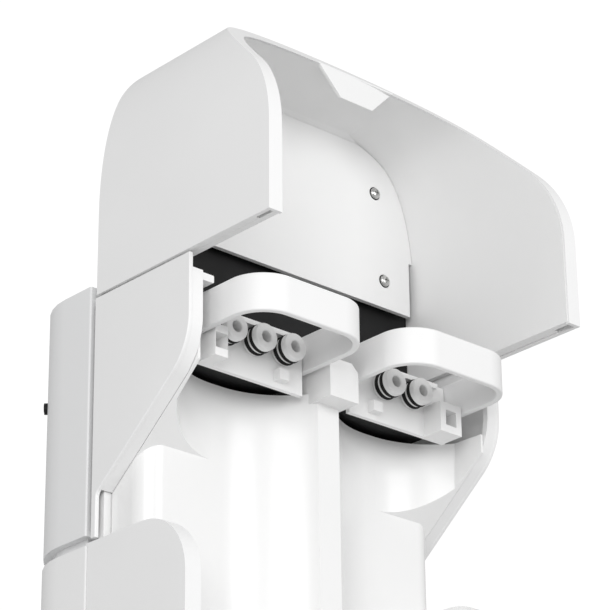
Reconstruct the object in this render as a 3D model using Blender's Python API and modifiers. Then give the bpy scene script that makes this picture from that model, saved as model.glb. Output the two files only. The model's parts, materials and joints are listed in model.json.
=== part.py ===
"""Countertop water dispenser with its front cover off and its two filter bays open.

Front is -Y, up is +Z, and the origin is the centre of the footprint, on the counter.
"""
from math import asin, atan2, cos, pi, radians, sin, tan

import bmesh
import bpy
from mathutils import Matrix, Vector

# ---------------------------------------------------------------- driving dimensions (metres)
GAP = 0.0003              # clearance between pieces that meet
WIDTH = 0.200             # over the hood and the lower housing
DEPTH = 0.241             # platform front to tank back
FRONT = -DEPTH / 2        # front of the drip platform
BACK = DEPTH / 2          # back of the tank and the rear base

HOOD_FRONT = -0.0605      # front plane of the hood's rim
HOOD_DEPTH = 0.1224
HOOD_BOTTOM = 0.385
HOOD_HEIGHT = 0.138
HOOD_WALL = 0.0021
HOOD_RIM_RISE = 0.044     # the rim is upright this far, then leans back
HOOD_RIM_BEND = 0.0604    # radius of that bend
HOOD_BACK_ROUND = 0.032
LINER_OUTER = 0.0051      # liner's outer face, inside the hood's outer face
LINER_INNER = 0.0082
LINER_BACK = 0.056

PANEL_OUTER = 0.0992      # side panels lie nearly flush with the hood's face
PANEL_INNER = 0.0969
PANEL_FLANGE = 0.0910     # inner edge of the flange along their front edges
PANEL_TOP = 0.3842
PANEL_FRONT = -0.0050
PANEL_STRIP = 0.0605      # front of the narrow strip below the slanted edge
PANEL_BACK = 0.0639
PANEL_KNEE = 0.3380       # the front edge slants back from here
PANEL_HEEL = 0.2862       # down to here

BAY_X = 0.046             # each filter bay's axis
BAY_Y = -0.0097
BAY_RADIUS = 0.0447
BAY_WALL = 0.003
BAY_TOP = 0.3445
BAY_FLOOR = 0.185
BAY_SIDE = 0.0907
DIVIDER_FRONT = 0.0115
WING_CENTRE = (0.0515, -0.0105)   # of the hollow's outer part, in plan
WING_RADIUS = 0.0455

HOUSING_FRONT = -0.0045
HOUSING_BACK = 0.0647
HOUSING_TOP = 0.263
HOUSING_ROUND = 0.030
CHEEK_INNER = 0.0910
WALL = 0.0025

FOOT = 0.004
BASE_TOP = 0.010          # top of the base plate
DECK = BASE_TOP + GAP     # where the housings stand

REAR_FRONT = 0.0651
REAR_TOP = 0.262
REAR_ROUND = 0.034
TANK_FRONT = 0.0663
TANK_BOTTOM = 0.267
TANK_TOP = 0.391
TANK_WALL = 0.0024
LID_HINGE = (0.1000, 0.3870)
LID_DECK = 0.1049         # front of the fixed deck behind the lid

COVER_Y = 0.0441          # front face of the inner cover
COVER_BOTTOM = 0.422
COVER_STEP = 0.452
CHASSIS_Y = 0.0500

HEAD_X = 0.047            # each filter head's and collar's centre
HEAD_FRONT = 0.0130       # front face of the filter heads
HEAD_BACK = 0.0320
HEAD_PLATE = 0.0025       # thickness of the head's front plate
HEAD_LIP = 0.3410         # lower edge of that plate
HEAD_BOTTOM = 0.3503
HEAD_TOP = 0.3705
HEAD_HALF = 0.0320
PORT_Z = 0.3596
PORT_TIP = 0.0025
COLLAR_HALF = 0.0360
COLLAR_WALL = 0.0034
COLLAR_BOTTOM = 0.3533
COLLAR_TOP = 0.3720
COLLAR_FRONT = -0.0340
COLLAR_CORNER = 0.0190
COLLAR_PIVOT = (0.0262, 0.3600)

PLATFORM_TOP = 0.026
TRAY_HALF = 0.078
TRAY_BACK = -0.0200
SPOUT_FRONT = -0.0860
SPOUT_HALF = 0.0270
SPOUT_BOTTOM = 0.150
SPOUT_TOP = 0.180
SPOUT_Y = -0.0640
LEVER_PIVOT = (-0.0270, 0.1440)

WHITE = ("white_abs", (0.86, 0.86, 0.85), 0.35, 0.0)
INNER_WHITE = ("inner_white", (0.82, 0.82, 0.81), 0.45, 0.0)
PORT_WHITE = ("port_white", (0.80, 0.80, 0.79), 0.30, 0.0)
BLACK = ("black_plastic", (0.012, 0.012, 0.013), 0.55, 0.0)
RUBBER = ("black_rubber", (0.010, 0.010, 0.010), 0.70, 0.0)
STEEL = ("steel", (0.62, 0.62, 0.62), 0.25, 1.0)
TANK_CLEAR = ("tank_white", (0.84, 0.85, 0.86), 0.25, 0.0)
TUBE_CLEAR = ("tube", (0.80, 0.82, 0.84), 0.30, 0.0)
BOARD = ("board_green", (0.02, 0.16, 0.07), 0.50, 0.0)


# ---------------------------------------------------------------- scene, materials, helpers
for old in list(bpy.data.objects):
    bpy.data.objects.remove(old, do_unlink=True)

PARTS = bpy.data.collections.new("countertop_water_dispenser")
CUTTERS = bpy.data.collections.new("cutters")
for group in (PARTS, CUTTERS):
    bpy.context.scene.collection.children.link(group)

ALONG_X = Matrix(((0, 0, 1), (1, 0, 0), (0, 1, 0)))      # outline in YZ, thickness along X
ALONG_Y = Matrix(((1, 0, 0), (0, 0, -1), (0, 1, 0)))     # outline in XZ, thickness along Y
ALONG_Z = Matrix.Identity(3)                             # outline in XY, thickness along Z


def material(spec):
    """The Principled material of a named finish, made once."""
    name, colour, roughness, metallic = spec
    found = bpy.data.materials.get(name)
    if found:
        return found
    made = bpy.data.materials.new(name)
    made.use_nodes = True
    shader = made.node_tree.nodes["Principled BSDF"]
    shader.inputs["Base Color"].default_value = (*colour, 1.0)
    shader.inputs["Roughness"].default_value = roughness
    shader.inputs["Metallic"].default_value = metallic
    made.diffuse_color = (*colour, 1.0)
    return made


def add(name, mesh, finish=None, smooth=True):
    """Link a mesh as a part, or as a hidden cutter when it has no finish."""
    item = bpy.data.objects.new(name, mesh)
    if smooth:
        mesh.shade_smooth()
        mesh.set_sharp_from_angle(angle=radians(35))
    if finish:
        mesh.materials.append(material(finish))
        PARTS.objects.link(item)
    else:
        CUTTERS.objects.link(item)
        item.hide_render = True
        item.display_type = 'WIRE'
    return item


def from_bmesh(name, bm, finish=None, smooth=True):
    """Make an object from a bmesh and free it."""
    mesh = bpy.data.meshes.new(name)
    bmesh.ops.recalc_face_normals(bm, faces=bm.faces)
    bm.to_mesh(mesh)
    bm.free()
    return add(name, mesh, finish, smooth)


def rounded(corners):
    """Closed outline from (u, v, radius) corners, with each corner turned into an arc."""
    points = []
    count = len(corners)
    for i, (u, v, radius) in enumerate(corners):
        here = Vector((u, v))
        before = Vector(corners[i - 1][:2]) - here
        after = Vector(corners[(i + 1) % count][:2]) - here
        if radius <= 0:
            points.append(here)
            continue
        angle = before.angle(after)
        reach = radius / tan(angle / 2)
        start = here + before.normalized() * reach
        end = here + after.normalized() * reach
        bisector = (before.normalized() + after.normalized()).normalized()
        centre = here + bisector * (radius / sin(angle / 2))
        first = atan2(start.y - centre.y, start.x - centre.x)
        sweep = atan2(end.y - centre.y, end.x - centre.x) - first
        sweep = (sweep + pi) % (2 * pi) - pi
        steps = max(2, round(abs(sweep) / radians(11)))
        points += [centre + radius * Vector((cos(first + sweep * k / steps),
                                             sin(first + sweep * k / steps)))
                   for k in range(steps + 1)]
    return [tuple(p) for p in points]


def slab(name, outline, low, high, axes, finish=None):
    """Flat outline (u, v) given thickness from low to high along the axes' third direction."""
    curve = bpy.data.curves.new(name, 'CURVE')
    curve.dimensions = '2D'
    curve.fill_mode = 'BOTH'
    curve.extrude = abs(high - low) / 2
    spline = curve.splines.new('POLY')
    spline.points.add(len(outline) - 1)
    for point, (u, v) in zip(spline.points, outline):
        point.co = (u, v, 0, 1)
    spline.use_cyclic_u = True
    guide = bpy.data.objects.new(name + "_outline", curve)
    CUTTERS.objects.link(guide)
    direction = axes @ Vector((0, 0, 1))
    middle = Vector([abs(c) for c in direction]) * ((low + high) / 2)
    guide.matrix_world = Matrix.Translation(middle) @ axes.to_4x4()
    bpy.context.view_layer.update()
    graph = bpy.context.evaluated_depsgraph_get()
    mesh = bpy.data.meshes.new_from_object(guide.evaluated_get(graph))
    mesh.transform(guide.matrix_world)
    bpy.data.objects.remove(guide, do_unlink=True)
    bpy.data.curves.remove(curve)
    mesh.name = name
    mesh.materials.clear()
    bm = bmesh.new()
    bm.from_mesh(mesh)
    bmesh.ops.remove_doubles(bm, verts=bm.verts, dist=0.00002)
    bmesh.ops.recalc_face_normals(bm, faces=bm.faces)
    bm.to_mesh(mesh)
    bm.free()
    return add(name, mesh, finish)


def box(name, low, high, finish=None, bevel=0.0):
    """Box between two corners, with its edges bevelled if asked."""
    bm = bmesh.new()
    bmesh.ops.create_cube(bm, size=1.0)
    size = Vector(high) - Vector(low)
    bmesh.ops.scale(bm, vec=size, verts=bm.verts)
    bmesh.ops.translate(bm, vec=(Vector(high) + Vector(low)) / 2, verts=bm.verts)
    item = from_bmesh(name, bm, finish)
    if bevel:
        soften(item, bevel)
    return item


def cylinder(name, start, end, radius, finish=None, segments=24, end_radius=None):
    """Solid cylinder or cone frustum from start to end."""
    start, end = Vector(start), Vector(end)
    bm = bmesh.new()
    bmesh.ops.create_cone(bm, cap_ends=True, segments=segments, radius1=radius,
                          radius2=radius if end_radius is None else end_radius,
                          depth=(end - start).length)
    turn = (end - start).to_track_quat('Z', 'Y').to_matrix()
    bmesh.ops.rotate(bm, matrix=turn, verts=bm.verts)
    bmesh.ops.translate(bm, vec=(start + end) / 2, verts=bm.verts)
    return from_bmesh(name, bm, finish)


def turned(name, profile, place, turn, finish, steps=24):
    """Closed profile of (radius, height) swept round its own Z axis, then turned and placed."""
    bm = bmesh.new()
    verts = [bm.verts.new((r, 0, h)) for r, h in profile]
    for i, vert in enumerate(verts):
        bm.edges.new((vert, verts[(i + 1) % len(verts)]))
    mesh = bpy.data.meshes.new(name)
    bm.to_mesh(mesh)
    bm.free()
    item = add(name, mesh, finish)
    item.matrix_world = Matrix.Translation(place) @ turn.to_4x4()
    screw = item.modifiers.new("turn", 'SCREW')
    screw.steps = steps
    screw.render_steps = steps
    screw.use_merge_vertices = True
    screw.merge_threshold = 0.00001
    screw.use_normal_calculate = True
    return item


def tube(name, points, radius, finish):
    """Bent tube along a few points, as a capped curve."""
    curve = bpy.data.curves.new(name, 'CURVE')
    curve.dimensions = '3D'
    curve.bevel_depth = radius
    curve.bevel_resolution = 2
    curve.use_fill_caps = True
    spline = curve.splines.new('POLY')
    spline.points.add(len(points) - 1)
    for point, place in zip(spline.points, points):
        point.co = (*place, 1)
    item = bpy.data.objects.new(name, curve)
    curve.materials.append(material(finish))
    PARTS.objects.link(item)
    return item


def bent(points, radius=0.012, steps=4):
    """Route through the points, with each inner corner turned into a short bend."""
    route = [Vector(points[0])]
    for before, here, after in zip(points, points[1:], points[2:]):
        here = Vector(here)
        back = (Vector(before) - here)
        ahead = (Vector(after) - here)
        reach = min(radius, back.length * 0.45, ahead.length * 0.45)
        start = here + back.normalized() * reach
        end = here + ahead.normalized() * reach
        for k in range(steps + 1):
            t = k / steps
            route.append((1 - t) ** 2 * start + 2 * t * (1 - t) * here + t ** 2 * end)
    route.append(Vector(points[-1]))
    return route


def soften(item, width, segments=2):
    """Round the edges of a piece."""
    bevel = item.modifiers.new("edges", 'BEVEL')
    bevel.width = width
    bevel.segments = segments
    bevel.limit_method = 'ANGLE'
    bevel.angle_limit = radians(40)


def combine(item, other, operation):
    """Cut a piece with another shape, join them, or keep what they share."""
    change = item.modifiers.new(operation.lower(), 'BOOLEAN')
    change.operation = operation
    change.object = other
    change.solver = 'EXACT'


def cut(item, *others):
    for other in others:
        combine(item, other, 'DIFFERENCE')


def join(item, *others):
    for other in others:
        combine(item, other, 'UNION')


def bezier(start, handle_1, handle_2, end, steps):
    """Points of a cubic curve after its start, up to and with its end."""
    points = []
    for k in range(1, steps + 1):
        t = k / steps
        weights = ((1 - t) ** 3, 3 * t * (1 - t) ** 2, 3 * t ** 2 * (1 - t), t ** 3)
        points.append(tuple(sum(w * p[i] for w, p in zip(weights, (start, handle_1, handle_2, end)))
                            for i in (0, 1)))
    return points


# ---------------------------------------------------------------- hood
def hood_arch(inset, drop=0.0):
    """The hood's front view, set in by a wall's thickness, reaching drop below its bottom."""
    side = WIDTH / 2 - inset
    shoulder = (0.0805 - 0.69 * inset, 0.1200 - 0.72 * inset)
    top = (0.0, HOOD_HEIGHT - inset)
    rise = (side - 0.0002, 0.040)
    half = [(side, -drop), rise]
    half += bezier(rise, (side - 0.0002, 0.074),
                   (shoulder[0] + 0.0130, shoulder[1] - 0.0135), shoulder, 9)
    half += bezier(shoulder, (shoulder[0] - 0.0105, shoulder[1] + 0.0108), (0.040, top[1]), top, 7)
    left = [(-u, v) for u, v in reversed(half[:-1])]
    return [(u, v + HOOD_BOTTOM) for u, v in half + left]


def hood_side(inset, drop=0.0, front=None):
    """The hood's side view: upright rim, bend, rim leaning back at 45 degrees, roof, back."""
    ahead = inset if front is None else front
    radius = HOOD_RIM_BEND - ahead
    points = [(ahead, -drop)]
    points += [(HOOD_RIM_BEND - radius * cos(a), HOOD_RIM_RISE + radius * sin(a))
               for a in [radians(45) * k / 6 for k in range(7)]]
    bend_y, bend_z = points[-1]
    roof = HOOD_HEIGHT - inset
    points.append((bend_y + roof - bend_z, roof))
    rear = HOOD_DEPTH - inset
    turn = HOOD_BACK_ROUND - inset
    points += [(rear - turn + turn * sin(a), roof - turn + turn * cos(a))
               for a in [radians(90) * k / 8 for k in range(9)]]
    points.append((rear, -drop))
    return [(u + HOOD_FRONT, v + HOOD_BOTTOM) for u, v in points]


def hood_block(name, inset, drop, finish=None, front=None):
    """Solid with the hood's front and side views, set in all round, its rim by its own amount."""
    half = WIDTH / 2 + 0.01
    block = slab(name, hood_arch(inset, drop), HOOD_FRONT - 0.01, HOOD_FRONT + HOOD_DEPTH + 0.01,
                 ALONG_Y, finish)
    side = slab(name + "_side", hood_side(inset, drop + 0.002, front), -half, half, ALONG_X)
    combine(block, side, 'INTERSECT')
    return block


def make_hood():
    shell = hood_block("hood_shell", 0.0, 0.0, WHITE)
    mouth = slab("hood_mouth", hood_arch(LINER_INNER, 0.02), HOOD_FRONT - 0.02,
                 HOOD_FRONT + 0.095, ALONG_Y)
    lip = HOOD_BOTTOM + HOOD_HEIGHT - LINER_INNER
    tab_x, tab_front = 0.0125, 0.0010
    tab = slab("hood_tab", [(tab_x - 0.0255, lip + 0.0012), (tab_x - 0.0105, lip - 0.0140),
                            (tab_x + 0.0105, lip - 0.0140), (tab_x + 0.0255, lip + 0.0012)],
               tab_front, tab_front + 0.0018, ALONG_Y)
    cut(shell, hood_block("hood_hollow", HOOD_WALL, 0.01), mouth)
    join(shell, tab)

    liner = hood_block("hood_liner", LINER_OUTER, -0.0008, INNER_WHITE, HOOD_WALL + GAP)
    back_trim = box("liner_back", (-0.12, LINER_BACK, 0.3), (0.12, 0.1, 0.6))
    hollow = slab("liner_hollow", hood_arch(LINER_INNER, 0.02), HOOD_FRONT - 0.02, 0.12, ALONG_Y)
    rear = slab("liner_rear", hood_side(LINER_INNER, 0.03), -0.12, 0.12, ALONG_X)
    combine(hollow, rear, 'INTERSECT')
    entry = slab("liner_entry", hood_arch(LINER_INNER, 0.02), HOOD_FRONT - 0.02, HOOD_FRONT + 0.085, ALONG_Y)
    tab_space = box("tab_space", (tab_x - 0.0265, HOOD_FRONT, 0.50),
                    (tab_x + 0.0265, tab_front + 0.0022, 0.53))
    cut(liner, back_trim, hollow, entry, tab_space)
    for side in (-1, 1):
        low, high = sorted((side * 0.0946, side * 0.0975))
        join(liner, box("liner_lip", (low, -0.0480, 0.3859), (high, 0.0005, 0.3880)))


def make_inner_cover():
    """Flat cover across the hood's back, with four screws, and the black chassis behind it."""
    thick = 0.0025
    cover = slab("inner_cover", hood_arch(LINER_INNER + GAP, 0.0), COVER_Y, COVER_Y + thick,
                 ALONG_Y, INNER_WHITE)
    inside = slab("cover_side", hood_side(LINER_INNER + GAP, 0.03), -0.12, 0.12, ALONG_X)
    below = box("cover_below", (-0.12, 0, 0.30), (0.12, 0.1, COVER_BOTTOM))
    combine(cover, inside, 'INTERSECT')
    cut(cover, below)
    for side in (-1, 1):
        low, high = sorted((side * 0.0880, side * 0.12))
        cut(cover, box("cover_step", (low, 0, 0.40), (high, 0.1, COVER_STEP)))
    places = {"upper": (0.0650, 0.4850), "lower": (0.0704, 0.4370)}
    for level, (x, z) in places.items():
        for word, side in (("left", -1), ("right", 1)):
            name = "cover_screw_%s_%s" % (level, word)
            hole = cylinder(name + "_hole", (side * x, 0, z), (side * x, 0.07, z), 0.0019, segments=16)
            cut(cover, hole)
            screw = turned(name, [(0.0, 0.0), (0.0018, 0.0003), (0.0029, 0.0009), (0.0030, 0.0016),
                                  (0.0015, 0.0016), (0.0015, 0.0052), (0.0, 0.0052)],
                           (side * x, COVER_Y - GAP - 0.0016, z),
                           Matrix.Rotation(radians(-90), 3, 'X'), STEEL, 14)
            slot = box(name + "_slot", (side * x - 0.0014, COVER_Y - 0.004, z - 0.0003),
                       (side * x + 0.0014, COVER_Y - 0.0011, z + 0.0003))
            cross = box(name + "_cross", (side * x - 0.0003, COVER_Y - 0.004, z - 0.0014),
                        (side * x + 0.0003, COVER_Y - 0.0011, z + 0.0014))
            cut(screw, slot, cross)

    low_half = BAY_SIDE - BAY_WALL - 2 * GAP
    inset = LINER_INNER + 0.0009
    chassis = slab("inner_chassis", hood_arch(inset, HOOD_BOTTOM - BAY_TOP - 0.0014), CHASSIS_Y,
                   CHASSIS_Y + 0.003, ALONG_Y, BLACK)
    combine(chassis, slab("chassis_side", hood_side(inset, 0.06), -0.12, 0.12, ALONG_X), 'INTERSECT')
    join(chassis, box("chassis_foot", (-low_half, CHASSIS_Y + 0.0002, 0.300),
                      (low_half, CHASSIS_Y + 0.0028, BAY_TOP + 0.004)))
    for side in (-1, 1):
        join(chassis, box("head_bracket", (side * HEAD_X - 0.0305, HEAD_BACK + GAP, 0.3475),
                          (side * HEAD_X + 0.0305, CHASSIS_Y + 0.0017, 0.3690)),
             box("head_tray", (side * HEAD_X - 0.0300, HEAD_FRONT + HEAD_PLATE + GAP, 0.3470),
                 (side * HEAD_X + 0.0300, CHASSIS_Y + 0.0015, HEAD_BOTTOM - GAP)))


# ---------------------------------------------------------------- side panels and bays
def make_side_panels():
    knee, heel = PANEL_KNEE, PANEL_HEEL
    slope = (knee - heel) / (PANEL_STRIP - PANEL_FRONT)
    plate = rounded([(PANEL_FRONT, PANEL_TOP, 0), (PANEL_FRONT, knee, 0.033),
                     (PANEL_STRIP, heel, 0.004), (PANEL_STRIP, HOUSING_TOP + 0.0020, 0),
                     (PANEL_BACK, HOUSING_TOP + 0.0020, 0), (PANEL_BACK, PANEL_TOP, 0)])
    band, end, lap = 0.0032, 0.0590, 0.0004
    outer_knee, inner_knee = knee + 0.0002, knee + 0.0015
    flange = rounded([(PANEL_FRONT + lap, 0.3770, 0), (PANEL_FRONT + lap, outer_knee, 0.0328),
                      (end, outer_knee - (end - PANEL_FRONT - lap) * slope, 0),
                      (end, inner_knee - (end - PANEL_FRONT - band) * slope, 0),
                      (PANEL_FRONT + band, inner_knee, 0.0302), (PANEL_FRONT + band, 0.3770, 0)])
    for word, side in (("left", -1), ("right", 1)):
        low, high = sorted((side * PANEL_INNER, side * PANEL_OUTER))
        panel = slab("side_panel_" + word, plate, low, high, ALONG_X, WHITE)
        low, high = sorted((side * PANEL_FLANGE, side * (PANEL_INNER + 0.0003)))
        edge = slab("panel_flange_" + word, flange, low, high, ALONG_X)
        low, high = sorted((side * 0.0953, side * (PANEL_INNER + 0.0003)))
        tongue = box("panel_tongue_" + word, (low, 0.0010, 0.3775), (high, 0.0540, HOOD_BOTTOM + 0.005))
        low, high = sorted((side * 0.0838, side * 0.0950))
        ledge = box("panel_ledge_" + word, (low, PANEL_FRONT + 0.0010, 0.3728),
                    (high, PANEL_FRONT + 0.0100, 0.3765))
        join(panel, edge, tongue, ledge)


def bay_line():
    """Right half of the bays' plan: divider face, hollow, flat back, outer corner, side."""
    line = [(0.0, DIVIDER_FRONT)]
    first = pi - asin((DIVIDER_FRONT - BAY_Y) / BAY_RADIUS)
    line += [(BAY_X + BAY_RADIUS * cos(a), BAY_Y + BAY_RADIUS * sin(a))
             for a in [first + (pi / 2 - first) * k / 12 for k in range(13)]]
    flat = BAY_Y + BAY_RADIUS
    corner = 0.0107
    line += [(BAY_SIDE - corner + corner * sin(a), flat + corner - corner * cos(a))
             for a in [radians(90) * k / 5 for k in range(6)]]
    line.append((BAY_SIDE, 0.0592))
    return line


def bay_wing(side):
    """Fill that carries a bay's hollow forward to the side panel, cut off along its slanted edge."""
    outer_end = radians(35.6)
    hollow = [(WING_CENTRE[0] + WING_RADIUS * cos(a), WING_CENTRE[1] + WING_RADIUS * sin(a))
              for a in [radians(88) + (outer_end - radians(88)) * k / 9 for k in range(10)]]
    web_front, behind = PANEL_FRONT + 0.0038, BAY_Y + BAY_RADIUS + 0.0012
    plan = hollow + [(BAY_SIDE - 0.0014, web_front), (BAY_SIDE, web_front), (BAY_SIDE, 0.0445),
                     (BAY_SIDE - 0.0107, behind), (hollow[0][0], behind)]
    if side < 0:
        plan = [(-x, y) for x, y in reversed(plan)]
    wing = slab("bay_wing", plan, PANEL_HEEL - 0.006, BAY_TOP, ALONG_Z)
    slope = (PANEL_KNEE - PANEL_HEEL) / (PANEL_STRIP - PANEL_FRONT)
    high = [(y, PANEL_KNEE - (y - PANEL_FRONT) * slope) for y in (0.08, -0.02)]
    cut(wing, slab("wing_slant", [(-0.02, 0.20), (0.08, 0.20)] + high, -0.12, 0.12, ALONG_X))
    return wing


def make_bays():
    """One moulded wall that forms both open filter bays and the divider between them."""
    right = bay_line()
    line = [(-x, y) for x, y in reversed(right[1:])] + right[1:]
    bm = bmesh.new()
    low = [bm.verts.new((x, y, BAY_FLOOR + GAP)) for x, y in line]
    high = [bm.verts.new((x, y, BAY_TOP)) for x, y in line]
    for i in range(len(line) - 1):
        bm.faces.new((low[i], low[i + 1], high[i + 1], high[i]))
    mesh = bpy.data.meshes.new("bay_wall")
    bm.to_mesh(mesh)
    bm.free()
    wall = add("bay_wall", mesh, INNER_WHITE)
    shell = wall.modifiers.new("thickness", 'SOLIDIFY')
    shell.thickness = BAY_WALL
    shell.offset = -1
    shell.use_even_offset = True
    post = slab("divider_post", [(-0.0090, BAY_TOP - 0.0050), (0.0090, BAY_TOP - 0.0050),
                                 (0.0090, BAY_TOP + 0.0105), (0.0050, BAY_TOP + 0.0145),
                                 (-0.0090, BAY_TOP + 0.0145)], 0.0, 0.0240, ALONG_Y)
    join(wall, post, bay_wing(-1), bay_wing(1))


def make_back_frame():
    """White plate that closes the tower's back, with two hooks for the tank."""
    frame = box("back_frame", (-0.0948, 0.0598, HOUSING_TOP + 0.002),
                (0.0948, 0.0636, HOOD_BOTTOM - 0.002), INNER_WHITE)
    window = box("frame_window", (-0.060, 0.05, 0.290), (0.060, 0.07, 0.350))
    cut(frame, window)
    for side in (-1, 1):
        join(frame, box("tank_hook", (side * 0.0900 - 0.003, 0.0620, 0.3410),
                        (side * 0.0900 + 0.003, 0.0657, 0.3480)))


# ---------------------------------------------------------------- filter heads
def make_head(word, centre, ports, ear_start):
    """Filter head with its water ports, seals, locking collar and pins."""
    half = HEAD_HALF
    plate_back = HEAD_FRONT + HEAD_PLATE
    head = box("filter_head_" + word, (centre - half, HEAD_FRONT + 0.001, HEAD_BOTTOM),
               (centre + half, HEAD_BACK, HEAD_TOP), INNER_WHITE)
    join(head, box("head_plate_" + word, (centre - half, HEAD_FRONT, HEAD_LIP),
                   (centre + half, plate_back, HEAD_TOP - 0.0005)))
    outward = 1 if centre > 0 else -1
    low, high = sorted((centre + outward * ear_start, centre + outward * (half - 0.0004)))
    ear = box("head_ear_" + word, (low, 0.0010, HEAD_LIP), (high, plate_back - 0.0005, 0.3565))
    middle = (low + high) / 2
    cut(ear, box("ear_window_" + word, (middle - 0.0035, -0.005, 0.3450),
                 (middle + 0.0035, 0.0110, 0.3525)))
    shelf = box("head_shelf_" + word, (centre - 0.0245, 0.0095, HEAD_TOP - 0.0036),
                (centre + 0.0245, HEAD_FRONT + 0.001, HEAD_TOP - 0.0010))
    stop = box("head_stop_" + word, (centre - outward * 0.0170 - 0.0030, 0.0085, 0.3440),
               (centre - outward * 0.0170 + 0.0030, HEAD_FRONT + 0.001, 0.3495))
    join(head, ear, shelf, stop)

    back_turn = Matrix.Rotation(radians(-90), 3, 'X')
    for number, offset in enumerate(ports, 1):
        x = centre + offset
        length = HEAD_FRONT - PORT_TIP - GAP
        profile = [(0.0028, 0.0), (0.0060, 0.0), (0.0067, 0.0007), (0.0067, 0.0034), (0.0048, 0.0034),
                   (0.0048, 0.0058), (0.0064, 0.0058), (0.0064, 0.0068), (0.0048, 0.0068),
                   (0.0048, 0.0092), (0.0064, 0.0092), (0.0064, length), (0.0028, length)]
        port = turned("port_%s_%d" % (word, number), profile, (x, PORT_TIP, PORT_Z), back_turn,
                      PORT_WHITE, 20)
        for place, depth in (("front", 0.0046), ("rear", 0.0080)):
            seal_mesh = torus_mesh("port_seal", 0.00612, 0.00092)
            seal = add("seal_%s_%d_%s" % (word, number, place), seal_mesh, RUBBER)
            seal.matrix_world = (Matrix.Translation((x, PORT_TIP + depth, PORT_Z))
                                 @ back_turn.to_4x4())

    pivot_y, pivot_z = COLLAR_PIVOT
    rear = pivot_y + 0.0058

    def loop(inset):
        side = COLLAR_HALF - inset
        corner = COLLAR_CORNER - inset
        front = COLLAR_FRONT + inset
        return rounded([(centre - side, rear, 0), (centre - side, front, corner),
                        (centre + side, front, corner), (centre + side, rear, 0)])

    outline = loop(0.0) + list(reversed(loop(COLLAR_WALL)))
    collar = slab("locking_collar_" + word, outline, COLLAR_BOTTOM, COLLAR_TOP, ALONG_Z, WHITE)
    soften(collar, 0.0006, 1)
    place = Vector((centre, pivot_y, pivot_z))
    collar.data.transform(Matrix.Translation(-place))
    collar.location = place
    reach = COLLAR_HALF + 0.0012
    name = "collar_pin_" + word
    hole = cylinder(name + "_hole", (centre - reach - 0.004, pivot_y, pivot_z),
                    (centre + reach + 0.004, pivot_y, pivot_z), 0.0023, segments=20)
    cut(head, hole)
    cut(collar, hole)
    cylinder(name, (centre - reach, pivot_y, pivot_z), (centre + reach, pivot_y, pivot_z), 0.0019,
             STEEL, 16)


def torus_mesh(name, major, minor, around=22, across=6):
    """Ring about Z, swept from a small circle."""
    bm = bmesh.new()
    rings = []
    for i in range(around):
        turn = Matrix.Rotation(2 * pi * i / around, 3, 'Z')
        rings.append([bm.verts.new(turn @ Vector((major + minor * cos(2 * pi * j / across), 0,
                                                  minor * sin(2 * pi * j / across))))
                      for j in range(across)])
    for i in range(around):
        for j in range(across):
            nxt, up = (i + 1) % around, (j + 1) % across
            bm.faces.new((rings[i][j], rings[nxt][j], rings[nxt][up], rings[i][up]))
    mesh = bpy.data.meshes.new(name)
    bm.to_mesh(mesh)
    bm.free()
    return mesh


# ---------------------------------------------------------------- lower housing and base
def make_lower_housing():
    """Housing below the bays, with the two cheeks that hold the bay wall."""
    half = WIDTH / 2
    outline = rounded([(HOUSING_FRONT, DECK, 0), (HOUSING_BACK, DECK, 0),
                       (HOUSING_BACK, HOUSING_TOP, 0), (HOUSING_FRONT, HOUSING_TOP, HOUSING_ROUND)])
    housing = slab("lower_housing", outline, -half, half, ALONG_X, WHITE)
    channel = box("housing_channel", (-CHEEK_INNER, -0.1, BAY_FLOOR), (CHEEK_INNER, 0.1, 0.3))
    room = box("housing_room", (-half + WALL, HOUSING_FRONT + WALL, -0.01),
               (half - WALL, 0.1, BAY_FLOOR - 0.003))
    cut(housing, channel, room)
    for side in (-1, 1):
        low, high = sorted((side * (CHEEK_INNER + 0.0022), side * (half - WALL)))
        cut(housing, box("cheek_hollow", (low, 0.012, 0.15), (high, 0.1, HOUSING_TOP - 0.006)))
        cut(housing, cylinder("riser_hole", (side * 0.020, 0.043, 0.17), (side * 0.020, 0.043, 0.20),
                              0.0036, segments=20))
    cut(housing, box("spout_passage", (-0.010, -0.02, 0.156), (0.010, 0.01, 0.172)))


def rear_outline(inset, half, front):
    """Plan of the tank and rear base: square front corners, well rounded back corners."""
    side = half - inset
    radius = REAR_ROUND - inset
    return rounded([(-side, front + inset, 0.0010), (side, front + inset, 0.0010),
                    (side, BACK - inset, radius), (-side, BACK - inset, radius)])


def make_rear_base():
    half = WIDTH / 2 + 0.0005
    base = slab("rear_base", rear_outline(0, half, REAR_FRONT), DECK, REAR_TOP, ALONG_Z, WHITE)
    cut(base, slab("rear_room", rear_outline(WALL, half, REAR_FRONT), -0.01, REAR_TOP - 0.003, ALONG_Z),
        box("rear_passage", (-0.030, 0.05, 0.02), (0.030, 0.075, 0.12)),
        cylinder("dock_hole", (0, 0.093, 0.24), (0, 0.093, 0.28), 0.0083, segments=28),
        box("inlet_hole", (0.0446, 0.11, 0.0296), (0.0674, 0.13, 0.0444)))
    turned("tank_dock", [(0.0030, -0.024), (0.0055, -0.024), (0.0055, -0.013), (0.0078, -0.012),
                         (0.0078, 0.0), (0.0030, 0.0)],
           (0, 0.093, REAR_TOP), Matrix.Identity(3), BLACK, 24)
    box("power_inlet", (0.0450, 0.1060, 0.0300), (0.0670, BACK - 0.0008, 0.0440), BLACK, 0.0010)
    cut(bpy.data.objects["power_inlet"],
        box("inlet_cavity", (0.0480, 0.1100, 0.0330), (0.0640, 0.13, 0.0410)))


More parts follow.
